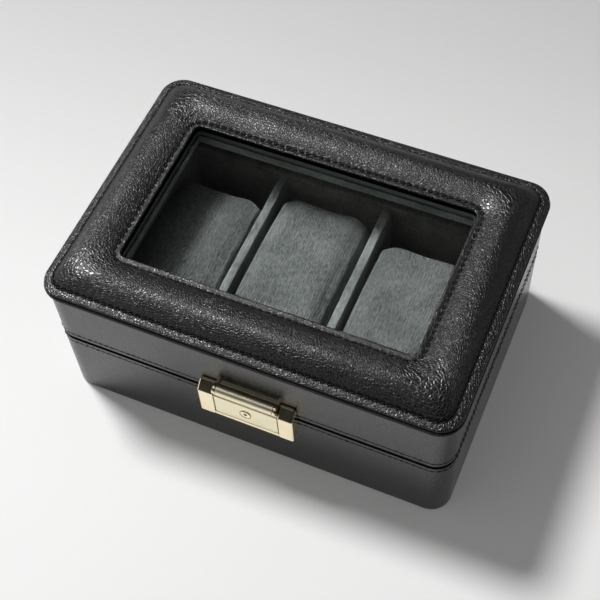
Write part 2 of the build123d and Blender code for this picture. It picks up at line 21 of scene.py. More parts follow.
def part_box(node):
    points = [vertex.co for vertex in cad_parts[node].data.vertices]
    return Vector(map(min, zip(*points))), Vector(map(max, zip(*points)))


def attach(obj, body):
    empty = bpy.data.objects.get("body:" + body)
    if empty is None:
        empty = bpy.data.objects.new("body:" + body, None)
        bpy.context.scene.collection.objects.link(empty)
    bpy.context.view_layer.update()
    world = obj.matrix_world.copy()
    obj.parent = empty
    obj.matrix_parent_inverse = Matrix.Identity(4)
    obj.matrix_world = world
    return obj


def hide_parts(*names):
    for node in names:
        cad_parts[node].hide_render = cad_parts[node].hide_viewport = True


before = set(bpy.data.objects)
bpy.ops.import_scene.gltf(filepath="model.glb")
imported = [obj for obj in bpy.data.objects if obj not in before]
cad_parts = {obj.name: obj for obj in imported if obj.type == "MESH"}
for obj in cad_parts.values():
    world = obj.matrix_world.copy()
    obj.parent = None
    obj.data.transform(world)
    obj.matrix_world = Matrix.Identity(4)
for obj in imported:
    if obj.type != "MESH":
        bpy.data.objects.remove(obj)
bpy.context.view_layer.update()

log = logging.getLogger("watch_box")

MM = 0.001
TINY = 1e-9
SIDES = ("front", "back", "left", "right")

Colour = tuple[float, float, float]
Row = tuple[float, float, float]
Mesh = bpy.types.Object
Material = bpy.types.Material
Socket = bpy.types.NodeSocket
Array = np.ndarray

# The heights of the seam below the lid and of the stitched creases beside it.
SEAM = 46.6
LID_CREASE = 50.3
BASE_CREASE = 42.9

# How far off its middle a crease's line of painted shade fades, and where the seam's bands of
# painted shade begin and end.
CREASE_SHADE_LINE = (0.1 * MM, 0.36 * MM)
SEAM_SHADE_START = (0.53 * MM, 0.62 * MM)
SEAM_SHADE_END = (1.1 * MM, 1.55 * MM)

# The velvet round the window, on its frame and low on the padded ring's inner edge.
FRAME_SHADE: Colour = (0.05, 0.06, 0.0585)
FRAME_LIGHT: Colour = (0.2, 0.225, 0.218)

# Painted shade: a black surface put where a gap or a fold lies in shadow.
PAINTED_GAP_SHADE = {"Base Color": (0.0015, 0.0015, 0.0015, 1.0), "Roughness": 0.9, "Specular IOR Level": 0.0}

# The colour sockets of a Mix node, in and out.
MIX_COLOURS = (6, 7)
MIX_RESULT = 2

# Edges turned by more than these angles, in degrees, are eased or are shaded sharp.
HARD_EDGE = 28
SHARP_SHADING = 40
SHARP_LEATHER = 70


class Value:
    """A node's output that takes part in sums as a number does."""

    def __init__(self, nodes: "Nodes", socket: Socket) -> None:
        """Keeps the socket and the nodes that it belongs to."""
        self.nodes = nodes
        self.socket = socket

    def _maths(self, operation: str, *terms: Any) -> "Value":
        """Adds one Math node over the terms."""
        made = self.nodes.node("Math", {"operation": operation}, dict(enumerate(terms)))
        return Value(self.nodes, made.outputs[0])

    def __add__(self, other: Any) -> "Value":
        """self + other."""
        return self._maths("ADD", self, other)

    def __radd__(self, other: Any) -> "Value":
        """other + self."""
        return self._maths("ADD", other, self)

    def __sub__(self, other: Any) -> "Value":
        """self - other."""
        return self._maths("SUBTRACT", self, other)

    def __rsub__(self, other: Any) -> "Value":
        """other - self."""
        return self._maths("SUBTRACT", other, self)

    def __mul__(self, other: Any) -> "Value":
        """self * other."""
        return self._maths("MULTIPLY", self, other)

    def __abs__(self) -> "Value":
        """The value without its sign."""
        return self._maths("ABSOLUTE", self)

    def sine(self) -> "Value":
        """The sine of the value, in radians."""
        return self._maths("SINE", self)

    def rise(self, low: float, high: float) -> "Value":
        """A smooth step that goes from 0 at low to 1 at high."""
        settings = {"interpolation_type": "SMOOTHSTEP"}
        sockets = {"Value": self, "From Min": low, "From Max": high}
        return Value(self.nodes, self.nodes.node("MapRange", settings, sockets).outputs[0])


class Nodes:
    """The shader nodes of one material, or of the world."""

    def __init__(self, owner: Material | bpy.types.World) -> None:
        """Empties the owner's node tree."""
        owner.use_nodes = True
        self.owner = owner
        self.tree = owner.node_tree
        self.tree.nodes.clear()

    def node(self, kind: str, settings: dict[str, Any], sockets: dict[Any, Any]) -> bpy.types.Node:
        """Adds a node, sets it up and feeds its sockets.

        Args:
            kind: the node's type, without its ShaderNode prefix.
            settings: its properties, set before its sockets.
            sockets: a number, colour, socket or Value for each socket, by name or place.

        Returns:
            The new node.
        """
        made = self.tree.nodes.new("ShaderNode" + kind)
        for key, value in settings.items():
            setattr(made, key, value)
        for key, value in sockets.items():
            link = value.socket if isinstance(value, Value) else value
            if isinstance(link, Socket):
                self.tree.links.new(link, made.inputs[key])
            else:
                made.inputs[key].default_value = link
        return made

    def place(self) -> Socket:
        """The point on the piece, in metres."""
        return self.node("TexCoord", {}, {}).outputs["Object"]

    def attribute(self, name: str) -> Socket:
        """A vector that the piece's own mesh carries."""
        return self.node("Attribute", {"attribute_name": name}, {}).outputs["Vector"]

    def share(self, name: str) -> Value:
        """A number from 0 to 1 that the piece's own mesh carries."""
        return Value(self, self.node("Attribute", {"attribute_name": name}, {}).outputs["Fac"])

    def part(self, vector: Socket, axis: str) -> Value:
        """One of a vector's three numbers."""
        return Value(self, self.node("SeparateXYZ", {}, {"Vector": vector}).outputs[axis])

    def stretched(self, vector: Socket, by: Sequence[float]) -> Socket:
        """A vector with each of its numbers multiplied."""
        settings = {"operation": "MULTIPLY"}
        return self.node("VectorMath", settings, {0: vector, 1: tuple(by)}).outputs[0]

    def clouds(self, vector: Socket, size: float, detail: float = 2.0) -> Value:
        """Soft noise between 0 and 1, with lumps of about size millimetres."""
        sockets = {"Vector": vector, "Scale": 1 / (size * MM), "Detail": detail}
        return Value(self, self.node("TexNoise", {}, sockets).outputs[0])

    def warped(self, vector: Socket, size: float, shift: float) -> Socket:
        """A vector pushed about by noise, by up to shift millimetres."""
        sockets = {"Vector": vector, "Scale": 1 / (size * MM), "Detail": 1.0}
        push = self.node("TexNoise", {}, sockets).outputs["Color"]
        sockets = {0: push, 1: (shift * MM,) * 3, 2: vector}
        return self.node("VectorMath", {"operation": "MULTIPLY_ADD"}, sockets).outputs[0]

    def cells(self, vector: Socket, size: float) -> Value:
        """The distance to the nearest edge of cells about size millimetres across, in cells."""
        settings = {"feature": "DISTANCE_TO_EDGE"}
        made = self.node("TexVoronoi", settings, {"Vector": vector, "Scale": 1 / (size * MM)})
        return Value(self, made.outputs["Distance"])

    def blend(self, share: Value, low: Any, high: Any) -> Socket:
        """A colour between two colours or sockets, by a share from 0 to 1."""
        sockets: dict[Any, Any] = {0: share}
        for place, end in zip(MIX_COLOURS, (low, high)):
            sockets[place] = end if isinstance(end, Socket) else (*end, 1.0)
        return self.node("Mix", {"data_type": "RGBA"}, sockets).outputs[MIX_RESULT]

    def bump(self, height: Value, relief: float) -> Socket:
        """A surface normal for a height map whose full range is relief millimetres."""
        return self.node("Bump", {}, {"Height": height, "Distance": relief * MM}).outputs[0]

    def surface(self, painted_shade: Value | None = None, **sockets: Any) -> Material:
        """Ends the material in one Principled shader.

        Args:
            painted_shade: where painted shade, a black surface, stands in for the shadow of a gap
                or a fold, from 0 to 1.
            sockets: the shader's inputs, their names joined by underscores.

        Returns:
            The finished material.
        """
        named = {key.replace("_", " "): value for key, value in sockets.items()}
        shader = self.node("BsdfPrincipled", {}, named)
        if painted_shade is None:
            return self.finish(shader.outputs[0])
        # Painted shade: the black shader is mixed in where the mask asks.
        return self.between(painted_shade, shader, self.node("BsdfPrincipled", {}, PAINTED_GAP_SHADE))

    def between(self, share: Any, low: bpy.types.Node, high: bpy.types.Node) -> Material:
        """Ends the material in a mix of two shaders, by a share from 0 to 1."""
        sockets = {0: share, 1: low.outputs[0], 2: high.outputs[0]}
        return self.finish(self.node("MixShader", {}, sockets).outputs[0])

    def finish(self, shader: Socket) -> Material:
        """Joins the last shader to the material's output."""
        self.node("OutputMaterial", {}, {"Surface": shader})
        return self.owner


@dataclass(frozen=True)
class Finish:
    """What a piece is made or covered of."""

    name: str

    @lru_cache(maxsize=None)
    def material(self) -> Material:
        """The finish's material, made once."""
        nodes = Nodes(bpy.data.materials.new(self.name))
        return self.laid(nodes, nodes.place())

    def laid(self, nodes: Nodes, place: Socket) -> Material:
        """Lays out the material's nodes, from the point on the piece to the output."""
        raise NotImplementedError


class Flow(Enum):
    """What a leather's grain follows: the box's own axes, or the run of the padded ring."""

    STRAIGHT = "straight"
    RING = "ring"


@dataclass(frozen=True)
class Leather(Finish):
    """Black finished leather: pebbled cells, finer cells in them, pores and an uneven gloss."""

    cell: float
    relief: float
    roughness: float
    flow: Flow = Flow.STRAIGHT
    # Creases get a bump and a line of painted shade; at the seam's level go bands of painted
    # shade.
    creases: tuple[float, ...] = ()
    swell: float = 1.3
    crease_depth: float = 0.3
    crease_width: float = 0.5
    seam: float = 0.0
    colour: Colour = (0.0014, 0.0015, 0.0015)
    worn: Colour = (0.004, 0.0042, 0.0041)
    shine: float = 0.75
    index: float = 1.5

    def laid(self, nodes: Nodes, place: Socket) -> Material:
        """The leather's nodes."""
        run = nodes.attribute("grain") if self.flow is Flow.RING else place
        warped = nodes.warped(run, 3 * self.cell, 0.8 * self.cell)
        pebbles = nodes.cells(warped, self.cell).rise(0.0, 0.26)
        finer = nodes.warped(run, self.cell, 0.4 * self.cell)
        small = nodes.cells(finer, 0.55 * self.cell).rise(0.0, 0.3)
        pores = nodes.clouds(run, 0.3 * self.cell)
        patches = nodes.clouds(place, 26.0)
        swell = nodes.clouds(run, 1.9 * self.cell, 1.0)
        height = pebbles * 0.9 + small * 0.14 + pores * 0.08 + swell * self.swell
        # Painted shade: a dark line along each crease and dark bands beside the seam's gap, mixed
        # in as black.
        painted_shade = None
        lines = 0.0
        for level in self.creases:
            off = abs(nodes.part(place, "Z") - level * MM)
            lines = (1 - off.rise(*CREASE_SHADE_LINE)) * 0.7 + lines
            dip = 1 - off.rise(0.0, self.crease_width * MM)
            height = height - dip * (self.crease_depth / self.relief)
        if self.seam:
            off = abs(nodes.part(place, "Z") - self.seam * MM)
            painted_shade = (1 - off.rise(*SEAM_SHADE_END)) * off.rise(*SEAM_SHADE_START) + lines
        roughness = self.roughness + (pores - 0.5) * 0.1 + (1 - pebbles) * 0.2
        roughness = roughness + (patches - 0.5) * 0.1
        tone = pebbles * 0.6 + patches * 0.4
        colour = nodes.blend(tone, self.colour, self.worn)
        if self.flow is Flow.RING:
            polish = nodes.share("polish")
            height = height * (1 - polish * 0.85)
            # The padded ring's painted shade, kept in its mesh.
            painted_shade = nodes.share("painted_shade")
            nap = nodes.share("nap")
            roughness = roughness - polish * 0.1 + nap * 0.6
            lining = nodes.blend(nodes.clouds(place, 0.8), FRAME_SHADE, FRAME_LIGHT)
            colour = nodes.blend(nap, colour, lining)
        return nodes.surface(
            painted_shade,
            Base_Color=colour,
            Roughness=roughness,
            Normal=nodes.bump(height, self.relief),
            Specular_IOR_Level=self.shine,
            IOR=self.index,
        )


@dataclass(frozen=True)
class Velvet(Finish):
    """Short pile with a nap that lies in patches, and broken ribs along Y on the pillows."""

    shade: Colour
    light: Colour
    rib: float = 0.0
    sheen: float = 0.5
    relief: float = 0.3

    def laid(self, nodes: Nodes, place: Socket) -> Material:
        """The velvet's nodes."""
        nap = nodes.clouds(place, 12.0, 3.0).rise(0.3, 0.7)
        pile = nodes.clouds(place, 0.45)
        tufts = nodes.clouds(nodes.stretched(place, (1.0, 0.5, 1.0)), 1.3).rise(0.25, 0.75)
        height = pile * 0.5 + tufts * 0.6
        tone = nap * 0.35 + tufts * 0.4 + pile * 0.25
        if self.rib:
            streaks = nodes.clouds(nodes.stretched(place, (1.0, 0.34, 0.4)), 0.7).rise(0.3, 0.7)
            across = nodes.part(nodes.warped(place, 7.0, 1.3), "X")
            ridge = (across * (2 * math.pi / (self.rib * MM))).sine() * 0.5 + 0.5
            ribs = ridge * 0.3 + streaks * 0.7
            height = height * 0.8 + ribs * 0.8
            tone = tone * 0.6 + ribs * 0.4
        return nodes.surface(
            Base_Color=nodes.blend(tone, self.shade, self.light),
            Roughness=0.8 + (pile - 0.5) * 0.3,
            Normal=nodes.bump(height, self.relief),
            Sheen_Weight=self.sheen,
            Sheen_Roughness=0.4,
            Sheen_Tint=(0.82, 0.83, 0.825, 1.0),
            Specular_IOR_Level=0.2,
        )


@dataclass(frozen=True)
class Metal(Finish):
    """Plated metal: fine brush lines along X, faint clouding and a few tiny pits."""

    colour: Colour
    dull: Colour
    roughness: float
    brushed: float
    lean: float = 0.0

    def laid(self, nodes: Nodes, place: Socket) -> Material:
        """The metal's nodes."""
        lines = nodes.clouds(nodes.stretched(place, (0.02, 1.0, 1.0)), 0.16, 3.0)
        haze = nodes.clouds(place, 7.0, 3.0)
        pits = nodes.clouds(place, 0.5)
        slope = nodes.part(place, "Z") * (self.lean / (0.02 * MM))
        return nodes.surface(
            Base_Color=nodes.blend(haze.rise(0.25, 0.75), self.dull, self.colour),
            Metallic=1.0,
            Roughness=self.roughness + (haze - 0.5) * 0.1 + (lines - 0.5) * 0.4 * self.brushed,
            Normal=nodes.bump(lines * self.brushed + pits * 0.25 - slope, 0.02),
        )


@dataclass(frozen=True)
class Board(Finish):
    """Pressed fibreboard, flecked and matt: pale brown, or dyed."""

    shade: Colour = (0.25, 0.16, 0.09)
    light: Colour = (0.48, 0.34, 0.21)

    def laid(self, nodes: Nodes, place: Socket) -> Material:
        """The board's nodes."""
        fibres = nodes.clouds(nodes.stretched(place, (0.3, 0.3, 1.0)), 0.7, 4.0)
        flecks = nodes.clouds(place, 2.5, 3.0)
        tone = fibres * 0.6 + flecks * 0.4
        return nodes.surface(
            Base_Color=nodes.blend(tone.rise(0.3, 0.7), self.shade, self.light),
            Roughness=0.85 + (fibres - 0.5) * 0.2,
            Normal=nodes.bump(fibres, 0.15),
        )


class Felt(Finish):
    """Pressed black felt with short loose fibres."""

    def laid(self, nodes: Nodes, place: Socket) -> Material:
        """The felt's nodes."""
        fibres = nodes.clouds(nodes.warped(place, 2.0, 1.5), 0.4, 4.0)
        lumps = nodes.clouds(place, 5.0)
        tone = fibres * 0.6 + lumps * 0.4
        return nodes.surface(
            Base_Color=nodes.blend(tone, (0.008, 0.008, 0.009), (0.035, 0.035, 0.037)),
            Roughness=0.95 + (fibres - 0.5) * 0.1,
            Normal=nodes.bump(fibres + lumps * 0.5, 0.3),
            Sheen_Weight=0.3,
        )


class Thread(Finish):
    """Waxed black sewing thread."""

    def laid(self, nodes: Nodes, place: Socket) -> Material:
        """The thread's nodes."""
        strands = nodes.clouds(nodes.warped(place, 1.0, 0.5), 0.18)
        return nodes.surface(
            Base_Color=nodes.blend(strands, (0.002, 0.002, 0.002), (0.012, 0.012, 0.012)),
            Roughness=0.6 + (strands - 0.5) * 0.3,
            Normal=nodes.bump(strands, 0.08),
            Specular_IOR_Level=0.3,
        )


class Pane(Finish):
    """Clear glass that lets the lamp through, with the faintest haze of wiping."""

    def laid(self, nodes: Nodes, place: Socket) -> Material:
        """The glass's nodes."""
        wiped = nodes.clouds(nodes.stretched(place, (1.0, 0.25, 1.0)), 14.0, 3.0)
        sockets = {
            "Base Color": (0.95, 0.97, 0.965, 1.0),
            "Roughness": wiped.rise(0.55, 0.9) * 0.03,
            "IOR": 1.5,
            "Transmission Weight": 1.0,
        }
        glass = nodes.node("BsdfPrincipled", {}, sockets)
        clear = nodes.node("BsdfTransparent", {}, {"Color": (0.88, 0.9, 0.895, 1.0)})
        path = nodes.node("LightPath", {}, {})
        return nodes.between(path.outputs["Is Shadow Ray"], glass, clear)


SMOOTH_LEATHER = Leather(
    "smooth_leather",
    cell=0.9,
    relief=0.03,
    roughness=0.16,
    creases=(BASE_CREASE, LID_CREASE),
    seam=SEAM,
    colour=(0.004, 0.0042, 0.0041),
    worn=(0.008, 0.0084, 0.0082),
    shine=0.6,
    index=1.6,
)
PADDED_LEATHER = Leather(
    "padded_leather", cell=1.25, relief=0.14, roughness=0.28, flow=Flow.RING, swell=0.75
)
PILLOW_VELVET = Velvet(
    "pillow_velvet", (0.01, 0.011, 0.0108), (0.145, 0.153, 0.15), rib=1.3, sheen=0.45
)
DIVIDER_VELVET = Velvet(
    "divider_velvet", (0.035, 0.038, 0.037), (0.21, 0.221, 0.217), sheen=0.6, relief=0.24
)
FRAME_VELVET = Velvet("frame_velvet", FRAME_SHADE, FRAME_LIGHT, sheen=0.5, relief=0.24)
LID_LINING = Velvet(
    "lid_lining", (0.012, 0.017, 0.0195), (0.036, 0.046, 0.05), sheen=0.2, relief=0.08
)
TRAY_SUEDE = Velvet(
    "tray_suede", (0.065, 0.066, 0.059), (0.2, 0.198, 0.172), sheen=0.5, relief=0.12
)
POLISHED_GOLD = Metal(
    "lock_gold", (0.97, 0.88, 0.63), (0.92, 0.8, 0.52), roughness=0.18, brushed=0.12, lean=0.14
)
BRUSHED_GOLD = Metal(
    "roll_gold", (0.98, 0.91, 0.68), (0.94, 0.85, 0.6), roughness=0.36, brushed=0.3, lean=0.09
)
# Painted shade: the dark gold of the ring that stands in for the shadow in the keyhole's groove.
GROOVE_SHADE_GOLD = Metal(
    "groove_shade_gold", (0.3, 0.17, 0.05), (0.12, 0.06, 0.02), roughness=0.4, brushed=0.3
)
HINGE_GOLD = Metal(
    "hinge_gold", (0.82, 0.66, 0.36), (0.7, 0.53, 0.27), roughness=0.3, brushed=0.5
)
SCREW_STEEL = Metal(
    "screw_steel", (0.62, 0.61, 0.59), (0.45, 0.44, 0.42), roughness=0.3, brushed=0.4
)
FIBREBOARD = Board("fibreboard")
DYED_BOARD = Board("dyed_board", (0.002, 0.002, 0.002), (0.006, 0.006, 0.006))
BLACK_FELT = Felt("felt")
BLACK_THREAD = Thread("thread")
WINDOW_GLASS = Pane("window_glass")


def hold(piece: Mesh) -> None:
    """Selects one piece alone and makes it the active one."""
    bpy.ops.object.select_all(action="DESELECT")
    piece.select_set(True)
    bpy.context.view_layer.objects.active = piece


@contextmanager
def editing(piece: Mesh) -> Iterator[None]:
    """Works on one piece in edit mode, with nothing of it selected at first."""
    hold(piece)
    bpy.ops.object.mode_set(mode="EDIT")
    bpy.ops.mesh.select_all(action="DESELECT")
    yield
    bpy.ops.object.mode_set(mode="OBJECT")


def pick(piece: Mesh, kind: str, test: Callable[[Any], bool]) -> None:
    """Selects the parts of a mesh that pass a test, in edit mode.

    Args:
        piece: the mesh being edited.
        kind: EDGE or FACE.
        test: takes one edge or face of the mesh.
    """
    bpy.ops.mesh.select_mode(type=kind)
    bpy.ops.mesh.select_all(action="DESELECT")
    mesh = bmesh.from_edit_mesh(piece.data)
    for part in {"EDGE": mesh.edges, "FACE": mesh.faces}[kind]:
        part.select = test(part)
    mesh.select_flush_mode()
    bmesh.update_edit_mesh(piece.data)


def modify(piece: Mesh, kind: str, **settings: Any) -> None:
    """Adds a modifier to a piece and applies it."""
    hold(piece)
    modifier = piece.modifiers.new(kind.lower(), kind)
    for key, value in settings.items():
        setattr(modifier, key, value)
    bpy.ops.object.modifier_apply(modifier=modifier.name)


def points_of(piece: Mesh) -> Array:
    """A piece's vertices, one row each, in metres."""
    points = np.empty(3 * len(piece.data.vertices))
    piece.data.vertices.foreach_get("co", points)
    return points.reshape(-1, 3)


def set_points(piece: Mesh, points: Array) -> None:
    """Moves a piece's vertices."""
    piece.data.vertices.foreach_set("co", points.ravel())
    piece.data.update()


def keep(piece: Mesh, name: str, values: Array) -> None:
    """Keeps a number or a vector for each point in the piece's own mesh."""
    kind, key = ("FLOAT_VECTOR", "vector") if values.ndim == 2 else ("FLOAT", "value")
    kept = piece.data.attributes.new(name, kind, "POINT")
    kept.data.foreach_set(key, values.ravel())


def smooth(piece: Mesh, angle: float = 180.0) -> None:
    """Shades a piece smooth, apart from edges sharper than an angle in degrees."""
    hold(piece)
    bpy.ops.object.shade_smooth_by_angle(angle=math.radians(angle))


def dress(piece: Mesh, finish: Finish) -> None:
    """Gives a piece one finish all over."""
    piece.data.materials.clear()
    piece.data.materials.append(finish.material())


def add(primitive: Callable[..., Any], name: str, **settings: Any) -> Mesh:
    """Adds a primitive as a new piece, its place, turn and scale kept in its points."""
    bpy.ops.object.select_all(action="DESELECT")
    primitive(**settings)
    piece = bpy.context.object
    piece.name = piece.data.name = name
    bpy.ops.object.transform_apply(location=True, rotation=True, scale=True)
    return piece


def slab(name: str, low: Vector, high: Vector, fold: float) -> Mesh:
    """A block whose upper edges are turned over, by fold millimetres."""
    middle = (low + high) / 2
    block = {"size": 1.0, "location": middle, "scale": high - low}
    piece = add(bpy.ops.mesh.primitive_cube_add, name, **block)
    with editing(piece):
        pick(piece, "EDGE", lambda edge: all(v.co.z > middle.z for v in edge.verts))
        bpy.ops.mesh.bevel(offset=fold * MM, segments=3, affect="EDGES")
    return piece


def copy_of(node: str, name: str) -> Mesh:
    """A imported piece's shape as a new mesh with its triangles joined."""
    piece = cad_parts[node].copy()
    piece.data = piece.data.copy()
    piece.parent = None
    for key in [key for key in piece.keys() if key.startswith("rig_")]:
        del piece[key]
    piece.name = piece.data.name = name
    bpy.context.scene.collection.objects.link(piece)
    with editing(piece):
        bpy.ops.mesh.select_all(action="SELECT")
        bpy.ops.mesh.customdata_custom_splitnormals_clear()
        bpy.ops.mesh.remove_doubles(threshold=0.002 * MM)
        bpy.ops.mesh.dissolve_limited(angle_limit=math.radians(1.0))
    return piece


@dataclass(frozen=True)
class Outline:
    """A rounded rectangle in plan, centred on the box, in millimetres."""

    half_x: float
    half_y: float
    corner: float

    def inset(self, by: float, corner: float) -> "Outline":
        """The outline drawn in, with its own corners."""
        return Outline(self.half_x - by, self.half_y - by, corner)

    def lengths(self) -> Array:
        """The lengths of its eight stretches: the front, then each corner and side in turn."""
        across, deep = 2 * (self.half_x - self.corner), 2 * (self.half_y - self.corner)
        turn = math.pi / 2 * self.corner
        return np.array([across, turn, deep, turn, across, turn, deep, turn])

    def places(self, count: int) -> tuple[Array, Array]:
        """Even steps round the outline, each as a stretch and a share of it."""
        ends = np.concatenate([[0.0], np.cumsum(self.lengths())])
        steps = np.arange(count) / count * ends[-1]
        stretch = np.clip(np.searchsorted(ends, steps, side="right") - 1, 0, 7)
        return stretch, (steps - ends[stretch]) / self.lengths()[stretch]

    def at(self, stretch: Array, share: Array) -> Array:
        """Points on the outline, in millimetres, one row each."""
        x, y, r = self.half_x - self.corner, self.half_y - self.corner, self.corner
        centres = np.array([[x, -y], [x, y], [-x, y], [-x, -y]])
        starts = np.array([[-x, -y - r], [x + r, -y], [x, y + r], [-x - r, y]])
        ends = np.array([[x, -y - r], [x + r, y], [-x, y + r], [-x - r, -y]])
        side = stretch // 2
        straight = starts[side] + (ends[side] - starts[side]) * share[:, None]
        turn = (side + share - 1) * math.pi / 2
        curved = centres[side] + r * np.stack([np.cos(turn), np.sin(turn)], axis=1)
        return np.where((stretch % 2 == 0)[:, None], straight, curved)


def hoop(outline: Outline, level: float, count: int) -> Mesh:
    """A closed loop of edges on an outline, at one level, in millimetres."""
    piece = add(bpy.ops.mesh.primitive_circle_add, "hoop", vertices=count, radius=1.0)
    turn = np.arctan2(*points_of(piece)[:, 1::-1].T) / (2 * math.pi)
    stretch, share = outline.places(count)
    column = np.rint(turn * count).astype(int) % count
    plan = outline.at(stretch, share)[column]
    set_points(piece, np.column_stack([plan, np.full(count, level)]) * MM)
    return piece


# Rows of the padded ring's section: how far in and up from a starting point, and how much painted
# shade the row takes, 1 being black where the rim's side, the reveal and the window's inner edge
# lie in shadow.
RIM_FOOT = (
    *((0.7, 0.0, 1.0), (0.35, 0.12, 1.0), (0.3, 1.0, 1.0), (0.02, 1.2, 0.3), (0.02, 1.45, 0.0)),
    *((0.15, 1.62, 0.0), (0.45, 1.69, 0.0), (0.8, 1.76, 0.0), (0.83, 1.85, 1.0), (0.75, 2.3, 1.0)),
)
RIM_HEAD = (
    *((0.6, -1.4, 1.0), (0.52, -1.05, 1.0), (0.6, -0.75, 0.0)),
    *((0.85, -0.45, 0.0), (1.3, -0.27, 0.0)),
)
OUTER_SEWING = ((-1.5, 0.1, 0.0), (-0.85, 0.2, 0.0), (-0.4, 0.06, 0.0), (0.0, -0.15, 0.0))
INNER_SEWING = ((0.0, -0.3, 0.0), (0.35, -0.26, 0.0), (0.8, -0.14, 0.0), (1.4, 0.02, 0.0))
WINDOW_EDGE = (
    *((-1.2, 0.16, 0.0), (-0.7, 0.25, 0.0), (-0.4, 0.24, 0.0), (-0.18, 0.1, 0.0)),
    *((-0.04, -0.15, 0.0), (0.0, -0.5, 0.5), (0.0, -0.8, 1.0)),
)
REVEAL = ((0.0, 2.9, 1.0), (0.0, 2.5, 0.0), (0.0, 0.0, 0.0))

# The rows on each flank of the dome, as shares of the way up to its crest.
FLANK = (0.025, 0.06, 0.1, 0.15, 0.2, 0.26, 0.33, 0.41, 0.5, 0.6, 0.7, 0.8, 0.9)

# How far from a line of stitches, in millimetres, the leather puckers and takes painted shade.
PUCKER_WIDTH = 0.8
DIMPLE_SHADE_WIDTH = 0.75
# A stitch holds this share of its length down, and this share of the pitch on nothing is held.
HELD = 0.38
FREED = 0.16


def rows_from(inset: float, level: float, steps: Sequence[Row]) -> list[Row]:
    """Rows of a section, laid out from a starting point."""
    return [(inset + along, level + up, painted_shade) for along, up, painted_shade in steps]


